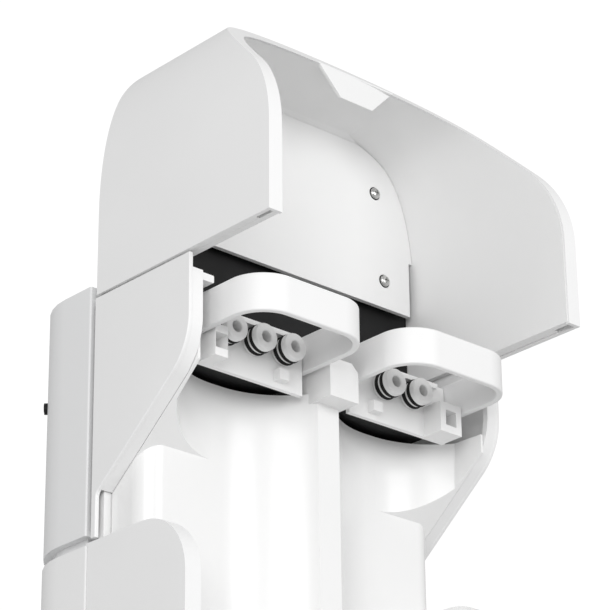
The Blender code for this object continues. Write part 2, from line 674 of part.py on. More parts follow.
def make_tank():
    """Lift-off water tank with an open top and a hinged lid."""
    half = WIDTH / 2
    body = slab("water_tank", rear_outline(0, half, TANK_FRONT), TANK_BOTTOM, TANK_TOP, ALONG_Z,
                TANK_CLEAR)
    foot = slab("tank_foot", rear_outline(0.004, half, TANK_FRONT), REAR_TOP + GAP,
                TANK_BOTTOM + 0.002, ALONG_Z)
    room = slab("tank_room", rear_outline(TANK_WALL, half, TANK_FRONT), TANK_BOTTOM + 0.0025, 0.42,
                ALONG_Z)
    spill = cylinder("tank_outlet", (0, 0.093, 0.25), (0, 0.093, 0.28), 0.0035, segments=20)
    deck = slab("tank_deck", rear_outline(0.0008, half, TANK_FRONT), TANK_TOP - 0.0034, TANK_TOP - 0.0002,
                ALONG_Z)
    cut(deck, box("deck_front", (-0.12, 0.05, 0.37), (0.12, LID_DECK, 0.40)))
    join(body, foot)
    cut(body, room, spill)
    join(body, deck)

    hinge_y, hinge_z = LID_HINGE
    inset = TANK_WALL + 0.0005
    lid = slab("tank_lid", rear_outline(inset, half, TANK_FRONT), TANK_TOP - 0.0030, TANK_TOP - 0.0004,
               ALONG_Z, WHITE)
    corner = [(0.0965, hinge_y - 0.0095), (0.0920, hinge_y - 0.0045), (0.0906, hinge_y + 0.0030),
              (0.12, hinge_y + 0.0030), (0.12, hinge_y - 0.0095)]
    cut(lid, box("lid_finger", (-0.012, 0.06, 0.38), (0.012, TANK_FRONT + 0.0090, 0.40)),
        box("lid_rear", (-0.12, hinge_y + 0.0026, 0.37), (0.12, 0.13, 0.40)),
        slab("lid_corner_right", corner, 0.37, 0.40, ALONG_Z),
        slab("lid_corner_left", [(-u, v) for u, v in reversed(corner)], 0.37, 0.40, ALONG_Z))
    for side in (-1, 1):
        low, high = sorted((side * 0.050, side * 0.044))
        knuckle = cylinder("lid_knuckle", (low, hinge_y, hinge_z), (high, hinge_y, hinge_z), 0.0024,
                           segments=16)
        join(lid, knuckle)
    cut(lid, cylinder("lid_bore", (-0.06, hinge_y, hinge_z), (0.06, hinge_y, hinge_z), 0.0012, segments=12))
    cylinder("lid_pin", (-0.0555, hinge_y, hinge_z), (0.0555, hinge_y, hinge_z), 0.0009, STEEL, 10)
    for word, side in (("left", -1), ("right", 1)):
        low, high = sorted((side * 0.0506, side * 0.0545))
        rest = box("lid_bearing_" + word, (low, hinge_y - 0.003, hinge_z - 0.0060),
                   (high, BACK - TANK_WALL + 0.0005, TANK_TOP - 0.0008))
        bore = cylinder("bearing_bore", (low - 0.002, hinge_y, hinge_z), (high + 0.002, hinge_y, hinge_z),
                        0.0012, segments=12)
        cut(rest, bore)
        join(body, rest)
        cut(lid, box("lid_notch", (low - 0.0005, hinge_y - 0.0050, 0.37), (high + 0.0005, 0.13, 0.40)))
    place = Vector((0, hinge_y, hinge_z))
    lid.data.transform(Matrix.Translation(-place))
    lid.location = place


def make_base():
    """Base plate, feet, drip platform, tray and grille."""
    half = WIDTH / 2 - 0.002
    outline = rounded([(-half, FRONT, 0.022), (half, FRONT, 0.022),
                       (half, BACK - 0.001, REAR_ROUND), (-half, BACK - 0.001, REAR_ROUND)])
    plate = slab("base_plate", outline, FOOT, BASE_TOP, ALONG_Z, WHITE)
    feet = {"front_left": (-0.070, FRONT + 0.028), "front_right": (0.070, FRONT + 0.028),
            "rear_left": (-0.070, BACK - 0.030), "rear_right": (0.070, BACK - 0.030)}
    for word, (x, y) in feet.items():
        cut(plate, cylinder("foot_socket", (x, y, 0), (x, y, 0.0065), 0.0083, segments=24))
        cylinder("foot_" + word, (x, y, 0), (x, y, 0.0062), 0.0080, RUBBER, 24)

    deck_outline = rounded([(-half, FRONT, 0.022), (half, FRONT, 0.022),
                            (half, HOUSING_FRONT - GAP, 0), (-half, HOUSING_FRONT - GAP, 0)])
    deck = slab("drip_platform", deck_outline, DECK, PLATFORM_TOP, ALONG_Z, WHITE)
    cut(deck, box("tray_slot", (-TRAY_HALF - 0.0006, -0.2, DECK + 0.0018),
                  (TRAY_HALF + 0.0006, TRAY_BACK + 0.0006, 0.04)))

    front = FRONT + 0.0004
    tray = box("drip_tray", (-TRAY_HALF, front, DECK + 0.0022),
               (TRAY_HALF, TRAY_BACK, PLATFORM_TOP - 0.0006),
               WHITE)
    cut(tray, box("tray_room", (-TRAY_HALF + 0.0024, front + 0.0030, DECK + 0.0046),
                  (TRAY_HALF - 0.0024, TRAY_BACK - 0.0024, 0.04)))
    grille_top = PLATFORM_TOP - 0.0010
    post = box("tray_post", (-0.003, -0.074, DECK + 0.003), (0.003, -0.066, grille_top - 0.0025))
    join(tray, post)
    grille = box("drip_grille", (-TRAY_HALF + 0.0028, front + 0.0034, grille_top - 0.0020),
                 (TRAY_HALF - 0.0028, TRAY_BACK - 0.0028, grille_top), STEEL)
    columns = 9
    for i in range(columns):
        x = (i - (columns - 1) / 2) * 0.0160
        cut(grille, box("grille_slot_%d" % i, (x - 0.0028, front + 0.012, 0.01),
                        (x + 0.0028, TRAY_BACK - 0.012, 0.04)))


def make_spout():
    """Spout block, water outlet and the sprung lever behind it."""
    outline = rounded([(SPOUT_FRONT, SPOUT_BOTTOM, 0.006), (HOUSING_FRONT - GAP, SPOUT_BOTTOM, 0),
                       (HOUSING_FRONT - GAP, SPOUT_TOP, 0), (SPOUT_FRONT, SPOUT_TOP, 0.012)])
    block = slab("spout_block", outline, -SPOUT_HALF, SPOUT_HALF, ALONG_X, WHITE)
    cut(block, box("spout_room", (-SPOUT_HALF + WALL, SPOUT_FRONT + 0.0085, 0.1),
                   (SPOUT_HALF - WALL, HOUSING_FRONT - 0.003, SPOUT_TOP - 0.003)))
    soften(block, 0.0012)
    turned("spout_outlet", [(0.0040, 0.0), (0.0062, 0.0), (0.0070, 0.0008), (0.0080, 0.0180),
                            (0.0120, 0.0184), (0.0120, 0.0280), (0.0040, 0.0280)],
           (0, SPOUT_Y, 0.1380), Matrix.Identity(3), BLACK, 28)
    pivot_y, pivot_z = LEVER_PIVOT
    paddle = rounded([(pivot_y - 0.0030, pivot_z + 0.0030, 0.001), (pivot_y - 0.0030, 0.1150, 0.004),
                      (pivot_y - 0.0100, 0.0850, 0.001), (pivot_y - 0.0070, 0.0850, 0.001),
                      (pivot_y + 0.0030, 0.1160, 0.004), (pivot_y + 0.0030, pivot_z + 0.0030, 0.001)])
    lever = slab("dispense_lever", paddle, -0.0130, 0.0130, ALONG_X, WHITE)
    cut(lever, cylinder("lever_bore", (-0.03, pivot_y, pivot_z), (0.03, pivot_y, pivot_z), 0.0016,
                        segments=14))
    place = Vector((0, pivot_y, pivot_z))
    lever.data.transform(Matrix.Translation(-place))
    lever.location = place
    cylinder("lever_pin", (-0.0175, pivot_y, pivot_z), (0.0175, pivot_y, pivot_z), 0.0012, STEEL, 12)
    for word, side in (("left", -1), ("right", 1)):
        low, high = sorted((side * 0.0134, side * 0.0170))
        ear = box("lever_ear_" + word, (low, pivot_y - 0.004, pivot_z - 0.0035),
                  (high, pivot_y + 0.004, SPOUT_TOP - 0.0035 + 0.002))
        bore = cylinder("ear_bore", (low - 0.002, pivot_y, pivot_z), (high + 0.002, pivot_y, pivot_z),
                        0.0016, segments=14)
        cut(ear, bore)
        join(block, ear)


def make_works():
    """Pump, board and tubes inside the housings."""
    cylinder("pump_motor", (-0.062, 0.030, 0.034), (-0.020, 0.030, 0.034), 0.0150, STEEL, 28)
    box("pump_head", (-0.0196, 0.0130, 0.0170), (0.0060, 0.0470, 0.0510), BLACK, 0.0015)
    box("control_board", (0.030, 0.050, 0.030), (0.085, 0.0516, 0.110), BOARD)
    tube("feed_tube", bent([(0, 0.093, 0.236), (0, 0.093, 0.070), (-0.006, 0.085, 0.040),
                            (-0.006, 0.0475, 0.036)]), 0.0030, TUBE_CLEAR)
    for word, side in (("left", -1), ("right", 1)):
        tube("riser_tube_" + word, bent([(-0.007 + side * 0.006, 0.028, 0.0514),
                                         (-0.007 + side * 0.006, 0.032, 0.090),
                                         (side * 0.020, 0.043, 0.140), (side * 0.020, 0.043, 0.3462)]),
             0.0028, TUBE_CLEAR)


def make_wall_bumpers():
    """Rubber bumpers low on the tank's back corners, which keep it off a wall."""
    for word, side in (("left", -1), ("right", 1)):
        x = side * (WIDTH / 2 - REAR_ROUND * 0.30)
        y = BACK - REAR_ROUND * 0.30
        outward = Vector((side, 1, 0)).normalized()
        centre = Vector((x, y, 0.3450)) + outward * 0.0004
        cylinder("wall_bumper_" + word, centre, centre + outward * 0.0018, 0.0028, RUBBER, 16)


make_hood()
make_inner_cover()
make_side_panels()
make_bays()
make_back_frame()
make_head("left", -HEAD_X, (-0.0170, 0.0010, 0.0190), 0.0240)
make_head("right", HEAD_X, (-0.0100, 0.0080), 0.0175)
make_lower_housing()
make_rear_base()
make_tank()
make_base()
make_spout()
make_works()
make_wall_bumpers()
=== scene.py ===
"""Looks of the countertop water dispenser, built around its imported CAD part."""
import json
from math import asin, atan2, cos, pi, radians, sin, tan

import bmesh
import bpy
from mathutils import Matrix, Vector


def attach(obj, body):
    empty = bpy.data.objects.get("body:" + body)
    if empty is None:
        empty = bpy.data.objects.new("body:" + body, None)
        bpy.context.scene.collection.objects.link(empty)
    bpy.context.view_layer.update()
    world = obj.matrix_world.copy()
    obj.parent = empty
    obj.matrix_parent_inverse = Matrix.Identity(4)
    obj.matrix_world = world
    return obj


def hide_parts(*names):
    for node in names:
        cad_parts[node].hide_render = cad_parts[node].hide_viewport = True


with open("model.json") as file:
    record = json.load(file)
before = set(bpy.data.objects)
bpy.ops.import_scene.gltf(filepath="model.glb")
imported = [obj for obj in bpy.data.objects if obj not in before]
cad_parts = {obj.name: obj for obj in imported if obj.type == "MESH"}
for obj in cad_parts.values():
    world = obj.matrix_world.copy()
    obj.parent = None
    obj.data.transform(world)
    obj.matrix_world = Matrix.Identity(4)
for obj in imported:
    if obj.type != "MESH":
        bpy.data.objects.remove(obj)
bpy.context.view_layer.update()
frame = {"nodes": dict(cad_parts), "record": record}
BODY_OF = {node: body for body, nodes in frame["record"]["behaviour"]["bodies"].items()
           for node in nodes}
SLOT_OF = {part["node"]: part["material_slot"] for part in frame["record"]["subparts"]}

# ---------------------------------------------------------------- sizes shared with the CAD part
HOOD_FRONT, HOOD_DEPTH, HOOD_BOTTOM, HOOD_HEIGHT = -0.0605, 0.1224, 0.385, 0.138
HOOD_WALL, LINER_OUTER, LINER_INNER, LINER_BACK = 0.0021, 0.0051, 0.0082, 0.056
RIM_RISE, RIM_BEND, BACK_ROUND = 0.044, 0.0604, 0.032
BAY_X, BAY_Y, BAY_RADIUS, BAY_WALL = 0.046, -0.0097, 0.0447, 0.003
BAY_TOP, BAY_FLOOR, BAY_SIDE, DIVIDER_FRONT = 0.3445, 0.1853, 0.0907, 0.0115
COVER_Y, COVER_BOTTOM, COVER_STEP = 0.0441, 0.422, 0.452
WING_X, WING_Y, WING_RADIUS = 0.0515, -0.0105, 0.0455
PANEL_OUTER, PANEL_INNER, PANEL_FLANGE, PANEL_TOP = 0.0992, 0.0969, 0.0910, 0.3842
PANEL_FRONT, PANEL_STRIP, PANEL_BACK = -0.0050, 0.0605, 0.0639
PANEL_KNEE, PANEL_HEEL, PANEL_FOOT = 0.3380, 0.2862, 0.2650
PANEL_SLOPE = (PANEL_KNEE - PANEL_HEEL) / (PANEL_STRIP - PANEL_FRONT)
HEAD_X, HEAD_FRONT, HEAD_BACK, PORT_Z, PORT_TIP = 0.047, 0.0130, 0.0320, 0.3596, 0.0025
COLLAR_HALF, COLLAR_WALL, COLLAR_CORNER, COLLAR_FRONT = 0.0360, 0.0034, 0.0190, -0.0340
COLLAR_BOTTOM, COLLAR_TOP, COLLAR_PIVOT = 0.3533, 0.3720, (0.0262, 0.3600)
TANK_BACK, TANK_FRONT_GAP = 0.1205, 0.0657
LINING = LINER_INNER - 0.0004        # the visible rim covers the liner's edge by this little
GAP = 0.0003

SLOTTED = ("drip_grille",)           # a face full of slots is better left as it is meshed

ALONG_X = Matrix(((0, 0, 1), (1, 0, 0), (0, 1, 0))).to_4x4()
ALONG_Y = Matrix(((1, 0, 0), (0, 0, -1), (0, 1, 0))).to_4x4()
ALONG_Z = Matrix.Identity(4)


# ---------------------------------------------------------------- materials
def link(tree, a, b):
    tree.links.new(a, b)


def node(tree, kind, **inputs):
    """New shader node with some inputs set, an underscore standing for a space in a name."""
    made = tree.nodes.new(kind)
    for name, value in inputs.items():
        made.inputs[name.replace("_", " ")].default_value = value
    return made


def ramp(tree, source, stops):
    """Colour that follows a value through (place, colour) stops."""
    made = tree.nodes.new("ShaderNodeValToRGB")
    elements = made.color_ramp.elements
    while len(elements) < len(stops):
        elements.new(0.5)
    for element, (place, colour) in zip(elements, stops):
        element.position = place
        element.color = (*colour, 1.0)
    link(tree, source, made.inputs["Fac"])
    return made.outputs["Color"]


def spread(tree, source, low, high):
    """Value from 0 to 1 stretched from low to high."""
    made = tree.nodes.new("ShaderNodeMapRange")
    made.inputs["To Min"].default_value = low
    made.inputs["To Max"].default_value = high
    link(tree, source, made.inputs["Value"])
    return made.outputs["Result"]


def shade(colour, factor):
    return tuple(min(1.0, c * factor) for c in colour)


def moulded(name, colour, rough, swing=0.012, cloud=14.0, grain=1500.0, grain_height=0.00001,
            wave=34.0, wave_height=0.00006, coat=0.0, gloss=0.5, clear=0.0):
    """Moulded plastic or rubber: faint clouding, spark-eroded grain, slow sink waves, worn sheen."""
    made = bpy.data.materials.new(name)
    made.use_nodes = True
    tree = made.node_tree
    shader = tree.nodes["Principled BSDF"]
    place = tree.nodes.new("ShaderNodeTexCoord").outputs["Object"]

    clouds = node(tree, "ShaderNodeTexNoise", Scale=cloud, Detail=3.0, Roughness=0.5)
    link(tree, place, clouds.inputs["Vector"])
    tint = ramp(tree, clouds.outputs["Fac"], [(0.30, shade(colour, 1 - swing)),
                                              (0.70, shade(colour, 1 + swing))])
    link(tree, tint, shader.inputs["Base Color"])

    wear = node(tree, "ShaderNodeTexNoise", Scale=cloud * 5, Detail=4.0, Roughness=0.6)
    link(tree, place, wear.inputs["Vector"])
    link(tree, spread(tree, wear.outputs["Fac"], rough * 0.86, rough * 1.14),
         shader.inputs["Roughness"])

    fine = node(tree, "ShaderNodeTexNoise", Scale=grain, Detail=2.0, Roughness=0.5)
    link(tree, place, fine.inputs["Vector"])
    bump = node(tree, "ShaderNodeBump", Strength=0.35, Distance=grain_height)
    link(tree, fine.outputs["Fac"], bump.inputs["Height"])
    slow = node(tree, "ShaderNodeTexNoise", Scale=wave, Detail=1.0, Roughness=0.4)
    link(tree, place, slow.inputs["Vector"])
    waves = node(tree, "ShaderNodeBump", Strength=0.30, Distance=wave_height)
    link(tree, slow.outputs["Fac"], waves.inputs["Height"])
    link(tree, bump.outputs["Normal"], waves.inputs["Normal"])
    link(tree, waves.outputs["Normal"], shader.inputs["Normal"])
    shader.inputs["Coat Weight"].default_value = coat
    shader.inputs["Specular IOR Level"].default_value = gloss
    shader.inputs["Coat Roughness"].default_value = 0.25
    if clear:
        shader.inputs["Subsurface Weight"].default_value = clear
        shader.inputs["Subsurface Radius"].default_value = (1.0, 1.0, 1.0)
        shader.inputs["Subsurface Scale"].default_value = 0.004
    return made


def brushed(name, colour, rough, along=(900.0, 40.0, 900.0)):
    """Stainless steel with fine drawn lines."""
    made = bpy.data.materials.new(name)
    made.use_nodes = True
    tree = made.node_tree
    shader = tree.nodes["Principled BSDF"]
    shader.inputs["Metallic"].default_value = 1.0
    place = tree.nodes.new("ShaderNodeTexCoord").outputs["Object"]
    turn = tree.nodes.new("ShaderNodeMapping")
    turn.inputs["Scale"].default_value = along
    link(tree, place, turn.inputs["Vector"])
    lines = node(tree, "ShaderNodeTexNoise", Scale=1.0, Detail=4.0, Roughness=0.6)
    link(tree, turn.outputs["Vector"], lines.inputs["Vector"])
    link(tree, ramp(tree, lines.outputs["Fac"], [(0.3, shade(colour, 0.88)),
                                                 (0.7, shade(colour, 1.08))]),
         shader.inputs["Base Color"])
    link(tree, spread(tree, lines.outputs["Fac"], rough * 0.8, rough * 1.3),
         shader.inputs["Roughness"])
    bump = node(tree, "ShaderNodeBump", Strength=0.2, Distance=0.00002)
    link(tree, lines.outputs["Fac"], bump.inputs["Height"])
    link(tree, bump.outputs["Normal"], shader.inputs["Normal"])
    return made


MATERIALS = {
    "white_abs": moulded("white_abs_satin", (0.865, 0.865, 0.865), 0.40),
    "inner_white": moulded("inner_white_satin", (0.875, 0.875, 0.873), 0.42, cloud=20.0),
    "port_white": moulded("port_white_smooth", (0.840, 0.840, 0.836), 0.30, wave=80.0),
    "black_rubber": moulded("black_rubber_soft", (0.006, 0.006, 0.006), 0.62, swing=0.2, gloss=0.3,
                            grain=2600.0, grain_height=0.00003),
    "black_plastic": moulded("black_plastic_matt", (0.005, 0.005, 0.0055), 0.60, swing=0.2, gloss=0.3,
                             grain=2000.0, grain_height=0.00004),
    "steel": brushed("stainless_steel", (0.62, 0.62, 0.61), 0.26),
    "tank_white": moulded("tank_white_satin", (0.810, 0.813, 0.817), 0.34, swing=0.014),
    "tube_clear": moulded("tube_milky", (0.74, 0.76, 0.78), 0.30, swing=0.03, clear=0.3),
    "bay_white": moulded("bay_white_gloss", (0.880, 0.880, 0.878), 0.24, cloud=9.0, coat=0.25),
    "board": moulded("board_mask", (0.02, 0.15, 0.07), 0.38, swing=0.15, cloud=60.0),
}


# ---------------------------------------------------------------- modelling helpers
def prism(outline, low, high, axes):
    """Closed solid from a flat outline, as a loose object."""
    bm = bmesh.new()
    ends = [[bm.verts.new((u, v, w)) for u, v in outline] for w in (low, high)]
    bm.faces.new(ends[0])
    bm.faces.new(ends[1])
    count = len(outline)
    for i in range(count):
        j = (i + 1) % count
        bm.faces.new((ends[0][i], ends[0][j], ends[1][j], ends[1][i]))
    turn = axes.copy()
    if axes is ALONG_Y:
        for v in bm.verts:
            v.co.z = -v.co.z
    bm.transform(turn)
    return loose(bm)


def loose(bm):
    """Object from a bmesh, freed, with its faces pointing out."""
    bmesh.ops.recalc_face_normals(bm, faces=bm.faces)
    mesh = bpy.data.meshes.new("loose")
    bm.to_mesh(mesh)
    bm.free()
    made = bpy.data.objects.new("loose", mesh)
    bpy.context.scene.collection.objects.link(made)
    return made


def block(low, high):
    """Loose box between two corners."""
    bm = bmesh.new()
    bmesh.ops.create_cube(bm, size=1.0)
    bmesh.ops.scale(bm, vec=Vector(high) - Vector(low), verts=bm.verts)
    bmesh.ops.translate(bm, vec=(Vector(high) + Vector(low)) / 2, verts=bm.verts)
    return loose(bm)


def rod(start, end, radius, segments=40):
    """Loose round bar from start to end."""
    start, end = Vector(start), Vector(end)
    bm = bmesh.new()
    bmesh.ops.create_cone(bm, cap_ends=True, segments=segments, radius1=radius, radius2=radius,
                          depth=(end - start).length)
    bmesh.ops.rotate(bm, matrix=(end - start).to_track_quat('Z', 'Y').to_matrix(), verts=bm.verts)
    bmesh.ops.translate(bm, vec=(start + end) / 2, verts=bm.verts)
    return loose(bm)


def lathe(profile, place, turn=None, segments=48):
    """Closed (radius, height) profile turned about Z, then turned and placed."""
    bm = bmesh.new()
    rings = []
    for radius, height in profile:
        if radius < 1e-7:
            rings.append([bm.verts.new((0, 0, height))])
        else:
            rings.append([bm.verts.new((radius * cos(2 * pi * k / segments),
                                        radius * sin(2 * pi * k / segments), height))
                          for k in range(segments)])
    for i, ring in enumerate(rings):
        other = rings[(i + 1) % len(rings)]
        if len(ring) == 1 and len(other) == 1:
            continue
        for k in range(segments):
            m = (k + 1) % segments
            if len(ring) == 1:
                bm.faces.new((ring[0], other[m], other[k]))
            elif len(other) == 1:
                bm.faces.new((ring[k], ring[m], other[0]))
            else:
                bm.faces.new((ring[k], ring[m], other[m], other[k]))
    bm.transform(Matrix.Translation(place) @ (turn or Matrix.Identity(3)).to_4x4())
    return loose(bm)


def bake(item):
    """Apply an object's modifiers to a mesh of its own."""
    bpy.context.view_layer.update()
    graph = bpy.context.evaluated_depsgraph_get()
    mesh = bpy.data.meshes.new_from_object(item.evaluated_get(graph))
    old = item.data
    item.modifiers.clear()
    item.data = mesh
    bpy.data.meshes.remove(old)
    return item


def carve(item, *others, operation='DIFFERENCE'):
    """Cut, join or intersect with loose objects, which are used up."""
    for other in others:
        change = item.modifiers.new("carve", 'BOOLEAN')
        change.operation = operation
        change.object = other
        change.solver = 'EXACT'
        bake(item)
        gone = other.data
        bpy.data.objects.remove(other)
        bpy.data.meshes.remove(gone)
    return item


def fuse(item, *others):
    """Join with loose objects, which are used up."""
    return carve(item, *others, operation='UNION')


def soften(item, width, segments=3, angle=32, flat=0.4):
    """Merge flat neighbours, unless flat is zero, and round the sharp edges."""
    bm = bmesh.new()
    bm.from_mesh(item.data)
    bmesh.ops.remove_doubles(bm, verts=bm.verts, dist=0.000004)
    if flat:
        bmesh.ops.dissolve_limit(bm, angle_limit=radians(flat), verts=bm.verts, edges=bm.edges)
    bmesh.ops.recalc_face_normals(bm, faces=bm.faces)
    bm.to_mesh(item.data)
    bm.free()
    edges = item.modifiers.new("edges", 'BEVEL')
    edges.width = width
    edges.segments = segments
    edges.limit_method = 'ANGLE'
    edges.angle_limit = radians(angle)
    edges.miter_outer = 'MITER_ARC'
    return bake(item)


def rounded(corners, step=3.0):
    """Closed outline from (u, v, radius) corners, with each corner turned into a fine arc."""
    points = []
    count = len(corners)
    for i, (u, v, radius) in enumerate(corners):
        here = Vector((u, v))
        before = Vector(corners[i - 1][:2]) - here
        after = Vector(corners[(i + 1) % count][:2]) - here
        if radius <= 0:
            points.append(here)
            continue
        angle = before.angle(after)
        reach = radius / tan(angle / 2)
        start = here + before.normalized() * reach
        end = here + after.normalized() * reach
        bisector = (before.normalized() + after.normalized()).normalized()
        centre = here + bisector * (radius / sin(angle / 2))
        first = atan2(start.y - centre.y, start.x - centre.x)
        sweep = atan2(end.y - centre.y, end.x - centre.x) - first
        sweep = (sweep + pi) % (2 * pi) - pi
        steps = max(4, round(abs(sweep) / radians(step)))
        points += [centre + radius * Vector((cos(first + sweep * k / steps),
                                             sin(first + sweep * k / steps)))
                   for k in range(steps + 1)]
    return [tuple(p) for p in points]


def bezier(start, handle_1, handle_2, end, steps):
    """Points of a cubic curve after its start."""
    points = []
    for k in range(1, steps + 1):
        t = k / steps
        weights = ((1 - t) ** 3, 3 * t * (1 - t) ** 2, 3 * t ** 2 * (1 - t), t ** 3)
        points.append(tuple(sum(w * p[i] for w, p in zip(weights, (start, handle_1, handle_2, end)))
                            for i in (0, 1)))
    return points


def show(name, item, body, slot, *nodes, angle=30, finish=None):
    """Name a finished piece, give it its finish, and let it stand for its CAD nodes."""
    item.name = name
    item.data.name = name
    item.data.materials.clear()
    item.data.materials.append(MATERIALS[finish or slot])
    for face in item.data.polygons:
        face.material_index = 0
    item.data.shade_smooth()
    item.data.set_sharp_from_angle(angle=radians(angle))
    even = item.modifiers.new("even", 'WEIGHTED_NORMAL')
    even.keep_sharp = True
    bake(item)
    item.data.name = name
    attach(item, body)
    if nodes:
        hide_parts(*nodes)
    return item


def copy_of(name):
    """Loose copy of a CAD node's mesh."""
    mesh = frame["nodes"][name].data.copy()
    made = bpy.data.objects.new("loose", mesh)
    bpy.context.scene.collection.objects.link(made)
    bm = bmesh.new()
    bm.from_mesh(mesh)
    bmesh.ops.remove_doubles(bm, verts=bm.verts, dist=0.000004)
    bm.to_mesh(mesh)
    bm.free()
    if "custom_normal" in mesh.attributes:
        mesh.attributes.remove(mesh.attributes["custom_normal"])
    return made


def skin(name, width, *grooves):
    """A CAD node's own shape with shallow grooves cut in and its edges rounded."""
    item = carve(copy_of(name), *grooves)
    soften(item, width, 2, 40, flat=0.0 if name in SLOTTED else 0.4)
    return show(name + "_skin", item, BODY_OF[name], SLOT_OF[name], name)


# ---------------------------------------------------------------- hood
def hood_arch(inset, drop=0.0):
    """The hood's front view, set in all round and drawn down below its edge."""
    side = 0.100 - inset
    shoulder = (0.0805 - 0.69 * inset, 0.1200 - 0.72 * inset)
    top = (0.0, HOOD_HEIGHT - inset)
    rise = (side - 0.0002, 0.040)
    half = [(side, -drop), rise]
    half += bezier(rise, (side - 0.0002, 0.074),
                   (shoulder[0] + 0.0130, shoulder[1] - 0.0135), shoulder, 26)
    half += bezier(shoulder, (shoulder[0] - 0.0105, shoulder[1] + 0.0108), (0.040, top[1]), top, 24)
    left = [(-u, v) for u, v in reversed(half[:-1])]
    return [(u, v + HOOD_BOTTOM) for u, v in half + left]


def hood_side(inset, drop=0.0, front=None):
    """The hood's side view: upright rim, bend, rim leaning back at 45 degrees, roof, back."""
    ahead = inset if front is None else front
    radius = RIM_BEND - ahead
    points = [(ahead, -drop)]
    points += [(RIM_BEND - radius * cos(a), RIM_RISE + radius * sin(a))
               for a in [radians(45) * k / 20 for k in range(21)]]
    bend_y, bend_z = points[-1]
    roof = HOOD_HEIGHT - inset
    points.append((bend_y + roof - bend_z, roof))
    rear = HOOD_DEPTH - inset
    turn = BACK_ROUND - inset
    points += [(rear - turn + turn * sin(a), roof - turn + turn * cos(a))
               for a in [radians(90) * k / 24 for k in range(25)]]
    points.append((rear, -drop))
    return [(u + HOOD_FRONT, v + HOOD_BOTTOM) for u, v in points]


def hood_form(inset, drop, front=None):
    """Solid with the hood's two views, its rim set in by its own amount."""
    form = prism(hood_arch(inset, drop), HOOD_FRONT - 0.01, HOOD_FRONT + HOOD_DEPTH + 0.01, ALONG_Y)
    return carve(form, prism(hood_side(inset, drop + 0.002, front), -0.11, 0.11, ALONG_X),
                 operation='INTERSECT')


def make_hood():
    """The outer shell with its tab, and the liner that shows as the inside and the rim's edge."""
    shell = hood_form(0.0, 0.0)
    mouth = prism(hood_arch(LINING, 0.02), HOOD_FRONT - 0.02, HOOD_FRONT + 0.095, ALONG_Y)
    carve(shell, hood_form(HOOD_WALL, 0.01), mouth)
    lip = HOOD_BOTTOM + HOOD_HEIGHT - LINER_INNER
    tab = prism(rounded([(-0.0130, lip + 0.0012, 0), (0.0020, lip - 0.0140, 0.0015),
                         (0.0230, lip - 0.0140, 0.0015), (0.0380, lip + 0.0012, 0)]),
                0.0006, 0.0026, ALONG_Y)
    soften(shell, 0.0008, 3, 35)
    soften(tab, 0.0004, 2, 35)
    fuse(shell, tab)
    show("hood_shell_skin", shell, "housing", "white_abs", "hood_shell")

    liner = hood_form(LINER_OUTER, -0.0008, HOOD_WALL + 0.0001)
    fuse(liner, hood_form(LINING + 0.0001, -0.0008, 0.0009))
    hollow = prism(hood_arch(LINER_INNER, 0.02), HOOD_FRONT - 0.02, 0.12, ALONG_Y)
    carve(hollow, prism(hood_side(LINER_INNER, 0.03), -0.12, 0.12, ALONG_X), operation='INTERSECT')
    carve(liner, block((-0.12, LINER_BACK, 0.3), (0.12, 0.1, 0.6)), hollow,
          prism(hood_arch(LINER_INNER, 0.02), HOOD_FRONT - 0.02, HOOD_FRONT + 0.085, ALONG_Y))
    for side in (-1, 1):
        low, high = sorted((side * 0.0946, side * 0.0977))
        fuse(liner, block((low, -0.0480, 0.3859), (high, 0.0005, 0.3880)))
    show("hood_liner_skin", liner, "housing", "inner_white", "hood_liner")


def make_inner_cover():
    """Flat cover across the hood's back, with cross-headed screws in shallow seats, each seat holding a
    black ring round the screw head that is painted shade.
    """
    cover = prism(hood_arch(LINER_INNER + GAP, 0.0), COVER_Y, COVER_Y + 0.0025, ALONG_Y)
    carve(cover, prism(hood_side(LINER_INNER + GAP, 0.03), -0.12, 0.12, ALONG_X),
          operation='INTERSECT')
    carve(cover, block((-0.12, 0, 0.30), (0.12, 0.1, COVER_BOTTOM)))
    for side in (-1, 1):
        low, high = sorted((side * 0.0880, side * 0.12))
        carve(cover, block((low, 0, 0.40), (high, 0.1, COVER_STEP)))
    for level, (x, z) in {"upper": (0.0650, 0.4850), "lower": (0.0704, 0.4370)}.items():
        for word, side in (("left", -1), ("right", 1)):
            x_here = side * x
            carve(cover, rod((x_here, 0.03, z), (x_here, 0.07, z), 0.0019, 32),
                  rod((x_here, COVER_Y - 0.001, z), (x_here, COVER_Y + 0.0007, z), 0.0036, 40))
            face = COVER_Y - GAP - 0.0016
            screw = lathe([(0.0, 0.0), (0.0012, 0.00006), (0.0022, 0.0004), (0.0028, 0.0009),
                           (0.0030, 0.0014), (0.0030, 0.0018), (0.0015, 0.0018), (0.0015, 0.0052),
                           (0.0, 0.0052)], (x_here, face, z),
                          Matrix.Rotation(radians(-90), 3, 'X'), 36)
            carve(screw, block((x_here - 0.0015, face - 0.001, z - 0.0003),
                               (x_here + 0.0015, face + 0.0010, z + 0.0003)),
                  block((x_here - 0.0003, face - 0.001, z - 0.0015),
                        (x_here + 0.0003, face + 0.0010, z + 0.0015)))
            name = "cover_screw_%s_%s" % (level, word)
            show(name + "_skin", screw, "housing", "steel", name)
            # black ring in the seat round each screw head: painted shade of the crevice there
            shade_ring = lathe([(0.0021, 0.0), (0.0034, 0.0), (0.0034, 0.0005), (0.0021, 0.0005)],
                           (x_here, COVER_Y + 0.0001, z), Matrix.Rotation(radians(-90), 3, 'X'), 36)
            show(name + "_washer", shade_ring, "housing", "black_rubber")
    soften(cover, 0.0004, 2, 35)
    show("inner_cover_skin", cover, "housing", "inner_white", "inner_cover")


